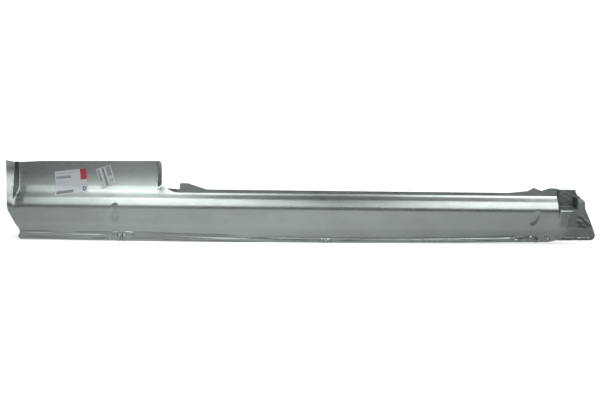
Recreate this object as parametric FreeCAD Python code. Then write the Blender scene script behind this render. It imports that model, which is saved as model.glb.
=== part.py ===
import FreeCAD, Part
import math
import os

# Pressed sheet-steel rocker panel with its rear quarter corner, and two paper labels.
# Millimetres. X runs along the sill, -Y faces outwards, +Z is up.
# The sections below are drawn from the sill's side face (depth 0) and from the line where
# that face turns into the upper roll (height 0). Depth grows inwards, to +Y.

# Sheet and overall blank
SHEET = 1.0
LEFT_END = -845.0
RIGHT_END = 848.0

# Sill section: side face, upper roll, shelf and door upstand
SIDE_HEIGHT = 45.0
ROLL_RADIUS = 34.0
SHELF_TILT = 65.0
SHELF_DEPTH = 39.5
UPSTAND_TILT = 10.0
UPSTAND_TOP = 52.5
UPSTAND_FILLET = 7.0

# Lower side and the flange that is welded to the floor
FLANGE_INSET = 9.0
FLANGE_HEIGHT = 16.0
BEND_HEIGHT = 67.5
BEND_BOW = 10.5
BEND_BOW_CENTRE = 110.0
BEND_BOW_REACH = 560.0
SIDE_EDGE_RADIUS = 30.0
BEND_RADIUS = 4.0

# Quarter plate above the sill, behind the door opening
PLATE_TOP = 125.5
PLATE_RISE = 4.0
PLATE_DEPTH = 80.0
PLATE_TOP_TILT = 12.0
PLATE_BOW_RADIUS = 240.0
PLATE_FILLET = 25.0
PILLAR_X = -401.0
PILLAR_ROLL_RADIUS = 13.0
PILLAR_ROLL_WIDTH = 11.0
PILLAR_TOP_CORNER = 15.0
PILLAR_FOOT_CORNER = 20.0

# Flare that stands forward along the rear end
FLARE_LINE_X = -839.0
FLARE_TOP = 138.0
FLARE_CORNER = 34.0
FLARE_LEAN = 11.0
FLARE_STEEPNESS = 1.5

# Ear at the start of the upstand
EAR_X = -347.0
EAR_HEIGHT = 17.5
EAR_LENGTH = 24.0
EAR_SLOPE = 54.0

# Joggle, pocket and end plate at the front end
JOGGLE_X = 738.0
JOGGLE_LEAN = 0.26
JOGGLE_DEPTH = 3.0
JOGGLE_LENGTH = 5.0
POCKET_START = 741.0
POCKET_END = 795.0
POCKET_DEPTH = 36.0
POCKET_WALL_SLOPE = 5.0
END_PLATE_TOP = 48.5

# Oval marks at the two jacking places: place, height, half width, half height, lean, depth
REAR_MARK = (-530.0, -7.0, 14.0, 29.0, 0.0, 2.0)
FRONT_MARK = (671.0, -19.0, 9.0, 31.0, -28.0, 1.8)

# Drain swages in the flange
SWAGE_PLACES = (-518.0, -504.0, 72.0, 678.0)
SWAGE_RADIUS = 3.5
SWAGE_TIP = 5.0
SWAGE_FOOT = 2.0

# Paper labels: place, height, width, length, turn in degrees
LARGE_LABEL = (-661.0, 69.0, 91.0, 64.0, 6.5)
SMALL_LABEL = (-561.0, 83.0, 43.0, 58.0, 19.0)
LABEL_GAP = 0.45
LABEL_THICKNESS = 0.25

# Surface net: spacing of the stations along the sill and of the rows up the section
COARSE_STATION = 70.0
FINE_STATION = 9.0
END_FADE = 130.0
ROWS_IN_BEND = 4
ROWS_IN_SIDE = 3
ROWS_IN_ROLL = 6
ROWS_IN_BACK = 10
LABEL_SPACING = 6.0
DEGREE = 3

# Rear outline: height over the line of the roll, distance from the rear end
REAR_OUTLINE = ((-94, 44), (-84, 36), (-72, 42), (-62, 41), (-45, 31), (-20, 18), (-8, 11),
                (12, 8), (103, 1.5), (138, 0))

# Front outline of the end plate: height, distance from the front end
FRONT_OUTLINE = ((-80, 8), (-72, 2), (-64, 0), (-40, 9), (-20, 17), (0, 26), (27, 38),
                 (42.5, 41), (48.5, 45))

# Wavy edge of the upstand before the joggle: distance from it, rise, corner radius
WAVY_EDGE = ((-140, -1, 30), (-84, 4.5, 12), (-66, 14, 2.5), (-43.5, 5.5, 8), (-22, 13, 8),
             (-2, 13, 6), (10, 8, 5))

# Worked out from the sizes above
FLANGE_BOTTOM = FLANGE_HEIGHT + BEND_HEIGHT + BEND_BOW
SHELF_SLOPE = math.tan(math.radians(SHELF_TILT))
ROLL_WIDTH = ROLL_RADIUS * math.sin(math.radians(SHELF_TILT))
ROLL_DEPTH = ROLL_RADIUS * (1 - math.cos(math.radians(SHELF_TILT)))
SHELF_TOP = ROLL_WIDTH + (SHELF_DEPTH - ROLL_DEPTH) / SHELF_SLOPE
PLATE_CENTRE_Z = PLATE_TOP + PLATE_BOW_RADIUS * math.sin(math.radians(PLATE_TOP_TILT))
PLATE_CENTRE_Y = PLATE_DEPTH - PLATE_BOW_RADIUS * math.cos(math.radians(PLATE_TOP_TILT))


def vec(x, y, z):
    return FreeCAD.Vector(x, y, z)


def ease(value):
    # Smooth step from 0 to 1 over the unit interval
    t = min(1.0, max(0.0, value))
    return t * t * (3 - 2 * t)


def nearer(a, b, reach):
    # The lesser depth of two surfaces, with a round fillet where they meet
    h = max(reach - abs(a - b), 0.0) / reach
    return min(a, b) - h * h * reach / 4


def deeper(a, b, reach):
    # The greater depth of two surfaces, with a round edge where they meet
    return -nearer(-a, -b, reach)


def fillet_reach(radius, tilt_a, tilt_b):
    # Blend length in depth that gives this radius between two tilts in degrees
    slope_a = math.tan(math.radians(tilt_a))
    slope_b = math.tan(math.radians(tilt_b))
    middle = math.tan(math.radians((tilt_a + tilt_b) / 2))
    return radius * (slope_a - slope_b) ** 2 / 2 / (1 + middle ** 2) ** 1.5


def roll_and_wall(inside):
    # Depth at a distance inside the rim: quarter roll, then a straight sloping wall
    if inside <= 0:
        return 0.0
    if inside < ROLL_WIDTH:
        return ROLL_RADIUS - math.sqrt(ROLL_RADIUS ** 2 - inside ** 2)
    return ROLL_DEPTH + (inside - ROLL_WIDTH) * SHELF_SLOPE


def distance_inside_rim(x, z):
    # The rim runs along the sill and turns up along the flare with a round corner
    past = (x - FLARE_LINE_X) * FLARE_STEEPNESS
    a = FLARE_CORNER - z
    b = FLARE_CORNER - past
    if a > 0 and b > 0:
        return FLARE_CORNER - math.hypot(a, b)
    return min(z, past)


def plate_depth(z):
    # Bowed quarter plate, upright at its top and leaning back at its foot
    rise = min(PLATE_CENTRE_Z - z, PLATE_BOW_RADIUS * 0.95)
    return PLATE_CENTRE_Y + math.sqrt(PLATE_BOW_RADIUS ** 2 - rise ** 2)


def upstand_depth(z):
    return SHELF_DEPTH + (z - SHELF_TOP) * math.tan(math.radians(UPSTAND_TILT))


def bend_height(x):
    # The flange bend bows down towards the middle of the sill
    t = (x - BEND_BOW_CENTRE) / BEND_BOW_REACH
    return BEND_HEIGHT + BEND_BOW * max(0.0, 1 - t * t)


def lower_depth(x, z):
    # Below the side face the sheet slopes in and then bends down into the flange
    lean = FLANGE_INSET / (bend_height(x) - SIDE_HEIGHT)
    tilt = math.degrees(math.atan(lean))
    slope = deeper(0.0, (-SIDE_HEIGHT - z) * lean, fillet_reach(SIDE_EDGE_RADIUS, tilt, 0))
    return nearer(slope, FLANGE_INSET, fillet_reach(BEND_RADIUS, tilt, 0) * 4)


def upper_depth(x, z):
    # Roll and shelf along the sill, flare at the rear end, plate or upstand behind them
    wall = roll_and_wall(distance_inside_rim(x, z))
    near_flare = 1 - ease((x - FLARE_LINE_X - ROLL_RADIUS) / PLATE_DEPTH)
    wall += math.tan(math.radians(FLARE_LEAN)) * z * near_flare
    door = ease((x - PILLAR_X) / (EAR_X - PILLAR_X))
    roll_start = PILLAR_X - PILLAR_ROLL_WIDTH
    past = min(max(x - roll_start, 0.0), PILLAR_ROLL_WIDTH)
    turned = PILLAR_ROLL_RADIUS - math.sqrt(PILLAR_ROLL_RADIUS ** 2 - past ** 2)
    turned *= ease((z - SHELF_TOP) / PILLAR_FOOT_CORNER)
    back = (plate_depth(z) + turned) * (1 - door) + upstand_depth(z) * door
    plate_fillet = fillet_reach(PLATE_FILLET, SHELF_TILT, 32.0)
    upstand_fillet = fillet_reach(UPSTAND_FILLET, SHELF_TILT, UPSTAND_TILT)
    return nearer(wall, back, plate_fillet * (1 - door) + upstand_fillet * door)


def front_end(x, z, depth):
    # Past the joggle the sheet steps in, loses its roll and has a pocket for the next panel
    plain = ease((x - POCKET_END + JOGGLE_LENGTH * 2) / (JOGGLE_LENGTH * 2))
    base = depth * (1 - plain) if z > 0 else depth
    wall_left = (x - POCKET_START) * POCKET_WALL_SLOPE
    wall_right = (POCKET_END - x) * POCKET_WALL_SLOPE
    pocket = min(wall_left, wall_right, z * POCKET_WALL_SLOPE, POCKET_DEPTH)
    base = deeper(base, max(pocket, -POCKET_DEPTH), 3.0)
    edge = JOGGLE_X + JOGGLE_LEAN * min(z, 0.0)
    fade = ease((bend_height(x) + z) / (bend_height(x) - SIDE_HEIGHT))
    return base + JOGGLE_DEPTH * fade * ease((x - edge) / JOGGLE_LENGTH)


def mark_depth(x, z, mark):
    # Shallow oval dent
    place, height, half_width, half_height, lean, depth = mark
    turn = math.radians(lean)
    across = (x - place) * math.cos(turn) + (z - height) * math.sin(turn)
    along = (z - height) * math.cos(turn) - (x - place) * math.sin(turn)
    r2 = (across / half_width) ** 2 + (along / half_height) ** 2
    return depth * (1 - r2) ** 2 if r2 < 1 else 0.0


def skin_depth(x, z):
    # Depth of the outer face of the pressing at any place and height
    depth = upper_depth(x, z) if z > 0 else lower_depth(x, z)
    depth = front_end(x, z, depth)
    return depth + mark_depth(x, z, REAR_MARK) + mark_depth(x, z, FRONT_MARK)


def point_at_offset(x, z, offset):
    # Point of the skin moved along its normal, inwards for a positive offset
    step = 0.5
    slope_x = (skin_depth(x + step, z) - skin_depth(x - step, z)) / (2 * step)
    slope_z = (skin_depth(x, z + step) - skin_depth(x, z - step)) / (2 * step)
    inward = vec(-slope_x, 1, -slope_z).normalize()
    return vec(x, skin_depth(x, z), z) + inward * offset


def along(points, value):
    # Straight interpolation in a list of (value, result) pairs
    for (v0, r0), (v1, r1) in zip(points, points[1:]):
        if value <= v1:
            return r0 + (r1 - r0) * max(0.0, value - v0) / (v1 - v0)
    return points[-1][1]


def spaced(start, end, zones, coarse):
    # Knots from start to end, closer together inside the zones (from, to, spacing)
    knots = [start]
    while knots[-1] < end - 1e-6:
        here = knots[-1]
        step = coarse
        for zone_start, zone_end, spacing in zones:
            if zone_start - 1e-6 <= here < zone_end:
                step = min(step, spacing)
            elif here < zone_start < here + step:
                step = zone_start - here
        knots.append(min(end, here + step))
    return knots


def rounded_path(corners):
    # Open wire in the XZ plane with round corners; each corner is x, z, radius
    edges = []
    last = vec(corners[0][0], 0, corners[0][1])
    for before, here, after in zip(corners, corners[1:], corners[2:]):
        centre = vec(here[0], 0, here[1])
        back = vec(before[0], 0, before[1]) - centre
        ahead = vec(after[0], 0, after[1]) - centre
        half = back.getAngle(ahead) / 2
        reach = min(here[2] / math.tan(half), 0.45 * back.Length, 0.45 * ahead.Length)
        back.normalize()
        ahead.normalize()
        start = centre + back * reach
        end = centre + ahead * reach
        edges.append(Part.LineSegment(last, start).toShape())
        radius = reach * math.tan(half)
        middle = (back + ahead).normalize()
        bottom = centre + middle * (radius / math.sin(half) - radius)
        edges.append(Part.Arc(start, bottom, end).toShape())
        last = end
    edges.append(Part.LineSegment(last, vec(corners[-1][0], 0, corners[-1][1])).toShape())
    return edges


class TopEdge:
    """Upper edge of the pressing, walked by its length from the flare to the end plate."""

    def __init__(self):
        self.edges = rounded_path(top_corners())
        self.starts = [0.0]
        for edge in self.edges:
            self.starts.append(self.starts[-1] + edge.Length)
        self.length = self.starts[-1]
        # Stations fan out from the lower sill to the upright edges in these stretches
        self.fans = [(self.walk_to(a), a, self.walk_to(b), b) for a, b in (
            (PILLAR_X - PLATE_TOP * 0.8, PILLAR_X + PILLAR_FOOT_CORNER),
            (EAR_X - EAR_HEIGHT, EAR_X + EAR_LENGTH * 2),
            (JOGGLE_X + WAVY_EDGE[1][0], JOGGLE_X + WAVY_EDGE[3][0]),
            (POCKET_END - 12, RIGHT_END))]

    def at(self, walked):
        walked = min(max(walked, 0.0), self.length)
        for i, edge in enumerate(self.edges):
            if walked <= self.starts[i + 1] or i == len(self.edges) - 1:
                part = (walked - self.starts[i]) / edge.Length
                first, last = edge.ParameterRange
                return edge.valueAt(first + (last - first) * min(1.0, part))

    def walk_to(self, x):
        # Length walked when the edge first reaches this place along the sill
        low, high = 0.0, self.length
        for _ in range(40):
            middle = (low + high) / 2
            if self.at(middle).x < x:
                low = middle
            else:
                high = middle
        return high

    def foot(self, walked):
        # Place along the lower sill that belongs to this place on the edge
        walked = min(walked, self.length)
        for start, x_start, end, x_end in self.fans:
            if start <= walked <= end:
                return x_start + (x_end - x_start) * (walked - start) / (end - start)
        return self.at(walked).x


def top_corners():
    # Upper outline from the flare to the end plate
    return [
        (LEFT_END, FLARE_TOP, 0),
        (LEFT_END + FLARE_CORNER / 2, FLARE_TOP - 2.5, 14),
        (LEFT_END + FLARE_CORNER, PLATE_TOP, 10),
        (PILLAR_X, PLATE_TOP + PLATE_RISE, PILLAR_TOP_CORNER),
        (PILLAR_X, UPSTAND_TOP, PILLAR_FOOT_CORNER),
        (EAR_X, UPSTAND_TOP, 2),
        (EAR_X + 2, UPSTAND_TOP + EAR_HEIGHT, 4),
        (EAR_X + EAR_LENGTH, UPSTAND_TOP + EAR_HEIGHT, 8),
        (EAR_X + EAR_LENGTH + EAR_SLOPE, UPSTAND_TOP, 30),
        *[(JOGGLE_X + ahead, UPSTAND_TOP + rise, radius) for ahead, rise, radius in WAVY_EDGE],
        (POCKET_END - 3, UPSTAND_TOP + WAVY_EDGE[-1][1], 1.5),
        (POCKET_END + 2, END_PLATE_TOP, 2),
        (RIGHT_END - FRONT_OUTLINE[-1][1], END_PLATE_TOP, 0),
    ]


def left_edge(z):
    return LEFT_END + along(REAR_OUTLINE, z)


def right_edge(z):
    return RIGHT_END - along(FRONT_OUTLINE, z)


def shifted(foot, z):
    # Stations near the two ends lean with the outline there
    near_left = 1 - ease((foot - LEFT_END) / END_FADE)
    near_right = ease((foot - POCKET_END) / (RIGHT_END - POCKET_END))
    left = (left_edge(z) - LEFT_END) * near_left
    right = (right_edge(z) - RIGHT_END) * near_right
    return foot + left + right


def station_knots(edge):
    rear = REAR_MARK[0]
    front = FRONT_MARK[0]
    walk = edge.walk_to
    zones = [
        (0, walk(FLARE_LINE_X + ROLL_RADIUS * 2), FINE_STATION),
        (walk(rear - 21), walk(rear + 21), FINE_STATION),
        (walk(PILLAR_X - PILLAR_ROLL_WIDTH * 2), walk(EAR_X + EAR_LENGTH * 2), FINE_STATION * 1.2),
        (walk(front - 20), walk(front + 30), FINE_STATION),
        (walk(JOGGLE_X - 20), edge.length, FINE_STATION),
    ]
    return spaced(0.0, edge.length, zones, COARSE_STATION)


def row_count():
    return int(ROWS_IN_BEND + ROWS_IN_SIDE + ROWS_IN_ROLL + ROWS_IN_BACK)


def row_height(row, foot, top):
    # Height of a row, from the flange bend at row 0 up to the edge of the sheet
    bend = -bend_height(foot)
    marks = [(0, bend - BEND_RADIUS)]
    marks.append((ROWS_IN_BEND, bend + BEND_RADIUS * 3))
    marks.append((ROWS_IN_BEND + ROWS_IN_SIDE, 0.0))
    marks.append((ROWS_IN_BEND + ROWS_IN_SIDE + ROWS_IN_ROLL, ROLL_WIDTH + 4))
    height = along(marks, row)
    above = row - marks[-1][0]
    if above <= 0:
        return height
    part = above / ROWS_IN_BACK
    return height + (top - height) * (0.55 * part + 0.45 * part * part)


def clamped(knots):
    return [knots[0]] * DEGREE + list(knots) + [knots[-1]] * DEGREE


def pole_places(knots):
    # Places of the poles over the knots
    full = clamped(knots)
    return [sum(full[i + 1:i + DEGREE + 1]) / DEGREE for i in range(len(full) - DEGREE - 1)]


def skin_surface(offset, edge):
    # One smooth surface from the flange bend to the upper edge, at this offset inwards
    stations = station_knots(edge)
    rows = [float(i) for i in range(row_count() + 1)]
    poles = []
    for walked in pole_places(stations):
        foot = edge.foot(walked)
        top = edge.at(walked)
        column = []
        for row in pole_places(rows):
            z = row_height(row, foot, top.z)
            shelf = row_height(ROWS_IN_BEND + ROWS_IN_SIDE + ROWS_IN_ROLL, foot, top.z)
            spread = max(0.0, (z - shelf) / (top.z - shelf))
            lower = shifted(foot, z)
            x = lower + (shifted(top.x, z) - lower) * spread
            column.append(point_at_offset(x, z, offset))
        # The lowest row lies in the plane of the flange
        column[0] = vec(column[0].x, FLANGE_INSET + offset, row_height(0, foot, top.z))
        poles.append(column)
    u_mults = [DEGREE + 1] + [1] * (len(stations) - 2) + [DEGREE + 1]
    v_mults = [DEGREE + 1] + [1] * (len(rows) - 2) + [DEGREE + 1]
    surface = Part.BSplineSurface()
    surface.buildFromPolesMultsKnots(
        poles, u_mults, v_mults, stations, rows, False, False, DEGREE, DEGREE)
    return surface


def flange_corners(start, end):
    # Lower outline between the two ends of the bend
    foot = -FLANGE_BOTTOM
    hem = FLANGE_HEIGHT / 2
    return [
        (start.x, start.z, 0),
        (LEFT_END + REAR_OUTLINE[1][1], foot + hem, 3),
        (LEFT_END + REAR_OUTLINE[0][1], foot + 3, 6),
        (LEFT_END + END_FADE * 4, foot, 300),
        (BEND_BOW_CENTRE, foot + 0.5, 300),
        (BEND_BOW_CENTRE + BEND_BOW_REACH * 0.6, foot + 4, 90),
        (JOGGLE_X - END_FADE, foot + hem - 1, 60),
        (JOGGLE_X - 25, foot + hem + 0.5, 20),
        (JOGGLE_X - 2, foot + hem + 6, 8),
        (RIGHT_END - 10, foot + hem + 7, 4),
        (end.x, end.z, 0),
    ]


def flange_faces(bends):
    # Flat flange below the bend: two faces and the cut edge between them
    loops = []
    for bend in bends:
        start, end = bend.valueAt(bend.FirstParameter), bend.valueAt(bend.LastParameter)
        path = rounded_path(flange_corners(bends[0].valueAt(bends[0].FirstParameter),
                                           bends[0].valueAt(bends[0].LastParameter)))
        for edge in path:
            edge.translate(vec(0, start.y, 0))
        loops.append(path)
    return loops


def panel_faces():
    edge = TopEdge()
    outer = skin_surface(0, edge)
    inner = skin_surface(SHEET, edge)
    u0, u1, v0, v1 = outer.bounds()
    faces = [outer.toShape(), inner.toShape()]
    for at in (u0, u1):
        faces.append(Part.makeRuledSurface(outer.uIso(at).toShape(), inner.uIso(at).toShape()))
    faces.append(Part.makeRuledSurface(outer.vIso(v1).toShape(), inner.vIso(v1).toShape()))
    bends = [surface.vIso(v0).toShape() for surface in (outer, inner)]
    loops = flange_faces(bends)
    for bend, loop in zip(bends, loops):
        wire = Part.Wire(Part.__sortEdges__(loop + [bend]))
        faces.append(Part.Face(wire))
    for front, back in zip(*loops):
        faces.append(Part.makeRuledSurface(front, back))
    return faces, outer


def swage(place, radius):
    # Rod with a pointed top end, along the back of the flange
    depth = FLANGE_INSET + SHEET
    low = -FLANGE_BOTTOM + SWAGE_FOOT
    top = -bend_height(place) - BEND_RADIUS - SWAGE_TIP
    rod = Part.makeCylinder(radius, top - low, vec(place, depth, low))
    return rod.fuse(Part.makeCone(radius, 0, SWAGE_TIP, vec(place, depth, top)))


def with_swages(panel):
    # Half-round drain channels, pressed out of the flange and open at its lower edge
    depth = FLANGE_INSET + SHEET
    for place in SWAGE_PLACES:
        size = SWAGE_RADIUS * 4
        corner = vec(place - size / 2, depth, -FLANGE_BOTTOM * 1.5)
        behind = Part.makeBox(size, size, FLANGE_BOTTOM, corner)
        panel = panel.fuse(swage(place, SWAGE_RADIUS + SHEET).cut(behind))
        below = Part.makeCylinder(SWAGE_RADIUS, FLANGE_BOTTOM, vec(place, depth, corner.z))
        below = below.common(Part.makeBox(size, size, FLANGE_BOTTOM / 2 + SWAGE_FOOT,
                                          vec(corner.x, depth - size / 2, corner.z)))
        panel = panel.cut(swage(place, SWAGE_RADIUS)).cut(below)
    return panel


def label(place, skin):
    # Paper label that follows the bow of the plate: a curved strip cut to the turned outline
    x, z, width, length, turn = place
    reach = math.hypot(width, length) / 2
    steps = int(2 * reach / LABEL_SPACING)
    curves = []
    for offset in (LABEL_GAP, LABEL_GAP + LABEL_THICKNESS):
        points = []
        for step in range(steps + 1):
            height = min(z - reach + 2 * reach * step / steps, PLATE_TOP)
            u, v = skin.parameter(vec(x, skin_depth(x, height), height))
            normal = skin.normal(u, v)
            if normal.y > 0:
                normal = normal * -1
            point = skin.value(u, v) + normal * offset
            if not points or point.z > points[-1].z + LABEL_THICKNESS:
                points.append(vec(x - reach, point.y, point.z))
        curve = Part.BSplineCurve()
        curve.interpolate(points)
        curves.append(curve.toShape())
    near, far = curves
    ends = [Part.makeLine(near.valueAt(at), far.valueAt(to)) for at, to in
            zip(near.ParameterRange, far.ParameterRange)]
    strip = Part.Face(Part.Wire(Part.__sortEdges__([near, ends[1], far, ends[0]])))
    strip = strip.extrude(vec(2 * reach, 0, 0))
    outline = Part.makeBox(width, PLATE_DEPTH * 2, length, vec(-width / 2, 0, -length / 2))
    outline.rotate(vec(0, 0, 0), vec(0, -1, 0), turn)
    outline.translate(vec(x, 0, z))
    return strip.common(outline)


def closed_solid(faces):
    shell = Part.makeShell(faces)
    shell.sewShape()
    if shell.ShapeType != "Shell":
        shell = shell.Shells[0]
    solid = Part.makeSolid(shell)
    if solid.Volume < 0:
        solid.reverse()
    return solid


def build():
    faces, skin = panel_faces()
    nodes = {
        "sill_panel": with_swages(closed_solid(faces)),
        "large_paper_label": label(LARGE_LABEL, skin),
        "small_paper_label": label(SMALL_LABEL, skin),
    }
    box = nodes["sill_panel"].optimalBoundingBox(False, False)
    shift = vec(-box.Center.x, -box.Center.y, -box.ZMin)
    os.makedirs("parts", exist_ok=True)
    for name, shape in nodes.items():
        solid = shape.Solids[0]
        solid.translate(shift)
        solid.exportStep("parts/" + name + ".step")
        print(name, "solids", len(shape.Solids), "valid", solid.isValid(),
              "volume", round(solid.Volume, 1), "faces", len(solid.Faces),
              "facets", len(solid.tessellate(0.3)[1]))
    print("box", box, "shift", shift)


build()
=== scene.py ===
"""Pressed steel rocker panel with its two paper labels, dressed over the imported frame."""

import logging
import math
from dataclasses import dataclass
from enum import Enum
from typing import Any, Iterable, Sequence

import bpy
import numpy as np
from mathutils import Matrix, Vector

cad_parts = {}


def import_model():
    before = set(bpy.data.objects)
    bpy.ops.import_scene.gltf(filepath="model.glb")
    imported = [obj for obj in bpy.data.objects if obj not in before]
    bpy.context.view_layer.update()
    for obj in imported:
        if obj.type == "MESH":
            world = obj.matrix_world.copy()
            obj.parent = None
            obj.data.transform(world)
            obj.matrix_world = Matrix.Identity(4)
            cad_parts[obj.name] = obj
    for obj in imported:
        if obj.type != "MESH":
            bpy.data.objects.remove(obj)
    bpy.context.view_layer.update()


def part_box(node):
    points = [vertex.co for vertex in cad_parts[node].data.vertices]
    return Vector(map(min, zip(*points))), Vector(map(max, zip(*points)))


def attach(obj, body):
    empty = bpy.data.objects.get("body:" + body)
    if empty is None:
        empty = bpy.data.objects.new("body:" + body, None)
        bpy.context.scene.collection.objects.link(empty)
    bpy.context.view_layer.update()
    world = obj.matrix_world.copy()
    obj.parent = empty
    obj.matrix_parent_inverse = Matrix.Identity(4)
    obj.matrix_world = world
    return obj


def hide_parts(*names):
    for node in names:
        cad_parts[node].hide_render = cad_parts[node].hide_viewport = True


Array = np.ndarray
Pair = tuple[float, float]
Triple = tuple[float, float, float]
Color = tuple[float, float, float, float]

LOG = logging.getLogger("rocker_panel")
MM = 0.001
# Smallest divisor, and smallest length that counts as a step.
TINY = 1e-9
NUDGE = 1e-6
# Largest share of a straight run that one round corner takes up.
RUN_SHARE = 0.45
# Value around which noise swings.
NOISE_MIDDLE = 0.5

# Height in metres at which every lamp aims.
AIM_HEIGHT = 0.1

PRINT_RED = (0.23, 0.012, 0.02, 1.0)
PRINT_GRAY = (0.15, 0.16, 0.17, 1.0)
PRINT_DARK = (0.03, 0.035, 0.04, 1.0)
RING_DARK = (0.05, 0.05, 0.06, 1.0)

PANEL_NODE = "sill_panel"
LARGE_LABEL_NODE = "large_paper_label"
SMALL_LABEL_NODE = "small_paper_label"


def ease(value: Array) -> Array:
    """Smooth step over the unit interval: three t squared less two t cubed.

    Args:
        value: Any numbers.

    Returns:
        Numbers from 0 to 1.
    """
    t = np.clip(value, 0.0, 1.0)
    return t * t * (3 - 2 * t)


def nearer(a: Array, b: Array, reach: Array) -> Array:
    """Lesser of two depths with a parabolic fillet where they come within reach.

    Args:
        a: First depth.
        b: Second depth.
        reach: Blend length, in depth.

    Returns:
        The blended depth.
    """
    h = np.maximum(reach - np.abs(a - b), 0.0) / reach
    return np.minimum(a, b) - h * h * reach / 4


def deeper(a: Array, b: Array, reach: Array) -> Array:
    """Greater of two depths, with the same round edge as nearer gives."""
    return -nearer(-a, -b, reach)


def fillet_reach(radius: float, tilt_a: float, tilt_b: float) -> float:
    """Blend length that gives a fillet of this radius between two tilts.

    Args:
        radius: Fillet radius in mm.
        tilt_a: First tilt in degrees.
        tilt_b: Second tilt in degrees.

    Returns:
        Blend length in mm of depth.
    """
    slope_a = math.tan(math.radians(tilt_a))
    slope_b = math.tan(math.radians(tilt_b))
    middle = math.tan(math.radians((tilt_a + tilt_b) / 2))
    return radius * (slope_a - slope_b) ** 2 / 2 / (1 + middle ** 2) ** 1.5


@dataclass(frozen=True)
class Corner:
    """Corner of an outline, in the panel's own millimetres."""

    x: float
    z: float
    radius: float = 0.0


class RoundedPath:
    """Open outline of straight runs and round corners, sampled along its length."""

    def __init__(self, corners: Sequence[Corner], arc_steps: int = 14) -> None:
        """Rounds the corners and measures the path.

        Args:
            corners: The outline's corners in order.
            arc_steps: Number of steps in each round corner.
        """
        points = [np.array([corners[0].x, corners[0].z])]
        for before, here, after in zip(corners, corners[1:], corners[2:]):
            points.extend(self._round(before, here, after, arc_steps))
        points.append(np.array([corners[-1].x, corners[-1].z]))
        self.points = np.array(points)
        steps = np.hypot(*np.diff(self.points, axis=0).T)
        self.walked = np.concatenate([[0.0], np.cumsum(steps)])
        self.length = float(self.walked[-1])

    @staticmethod
    def _round(before: Corner, here: Corner, after: Corner, steps: int) -> Iterable[Array]:
        """Quadratic curve that leaves one run and joins the next at the fillet's reach."""
        centre = np.array([here.x, here.z])
        back = np.array([before.x, before.z]) - centre
        ahead = np.array([after.x, after.z]) - centre
        back_length = float(np.hypot(*back))
        ahead_length = float(np.hypot(*ahead))
        cosine = float(back @ ahead) / back_length / ahead_length
        half = math.acos(max(-1.0, min(1.0, cosine))) / 2
        reach = min(here.radius / max(math.tan(half), NUDGE), RUN_SHARE * back_length,
                    RUN_SHARE * ahead_length)
        start = centre + back / back_length * reach
        end = centre + ahead / ahead_length * reach
        for t in np.linspace(0.0, 1.0, steps):
            yield (1 - t) ** 2 * start + 2 * t * (1 - t) * centre + t * t * end

    def x_at(self, walked: Array) -> Array:
        """Place along the sill at these walked lengths."""
        return np.interp(walked, self.walked, self.points[:, 0])

    def z_at(self, walked: Array) -> Array:
        """Height at these walked lengths."""
        return np.interp(walked, self.walked, self.points[:, 1])

    def walk_to(self, x: float) -> float:
        """Walked length at which the path first reaches this place along the sill."""
        reached = np.maximum.accumulate(self.points[:, 0])
        first = int(np.argmax(reached >= x))
        if first == 0:
            return 0.0
        x0, x1 = reached[first - 1], self.points[first, 0]
        part = (x - x0) / max(x1 - x0, TINY)
        return float(self.walked[first - 1] + part * (self.walked[first] - self.walked[first - 1]))


class Mark:
    """Something left in the sheet beside its clean form."""

    def at(self, x: Array, z: Array) -> Array:
        """Depth added at each place.

        Args:
            x: Places along the sill.
            z: Heights.

        Returns:
            Depths in mm, positive inwards.
        """
        raise NotImplementedError


@dataclass(frozen=True)
class Dent(Mark):
    """Oval dent or bump in the sheet; a positive depth goes inwards.

    Its wall is the share of the radius over which it falls: 1 is a bowl, less has a flat floor.
    A fading dent runs out evenly towards its lower end.
    """

    x: float
    z: float
    half_width: float
    half_height: float
    depth: float
    lean: float = 0.0
    wall: float = 1.0
    fading: bool = False

    def at(self, x: Array, z: Array) -> Array:
        """A smooth step of (1 less r) over the wall, times the depth."""
        turn = math.radians(self.lean)
        across = (x - self.x) * math.cos(turn) + (z - self.z) * math.sin(turn)
        up = (z - self.z) * math.cos(turn) - (x - self.x) * math.sin(turn)
        radius = np.hypot(across / self.half_width, up / self.half_height)
        share = np.clip(up / self.half_height / 2 + 0.5, 0.0, 1.0) if self.fading else 1.0
        return self.depth * ease((1 - radius) / self.wall) * share


@dataclass(frozen=True)
class Crease(Mark):
    """Narrow groove or ridge along a straight line; a positive depth goes inwards."""

    x0: float
    z0: float
    x1: float
    z1: float
    half_width: float
    depth: float

    def at(self, x: Array, z: Array) -> Array:
        """Falls smoothly with the distance from the line, and fades out at its two ends."""
        length = math.hypot(self.x1 - self.x0, self.z1 - self.z0)
        run_x, run_z = (self.x1 - self.x0) / length, (self.z1 - self.z0) / length
        along = (x - self.x0) * run_x + (z - self.z0) * run_z
        away = np.abs((z - self.z0) * run_x - (x - self.x0) * run_z)
        middle = 1 - np.abs(2 * along / length - 1)
        return self.depth * ease(1 - away / self.half_width) * ease(middle * 3)


@dataclass(frozen=True)
class DrainChannel(Mark):
    """Half-round channel pressed outwards across the flange, open at its lower edge."""

    x: float
    top: float
    radius: float = 4.5
    tip: float = 7.0

    def at(self, x: Array, z: Array) -> Array:
        """Minus the root of radius squared less distance squared; the radius runs out to
        nothing over the tip."""
        radius = self.radius * np.clip((self.top - z) / self.tip, 0.0, 1.0)
        return -np.sqrt(np.clip(radius ** 2 - (x - self.x) ** 2, 0.0, None))


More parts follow.
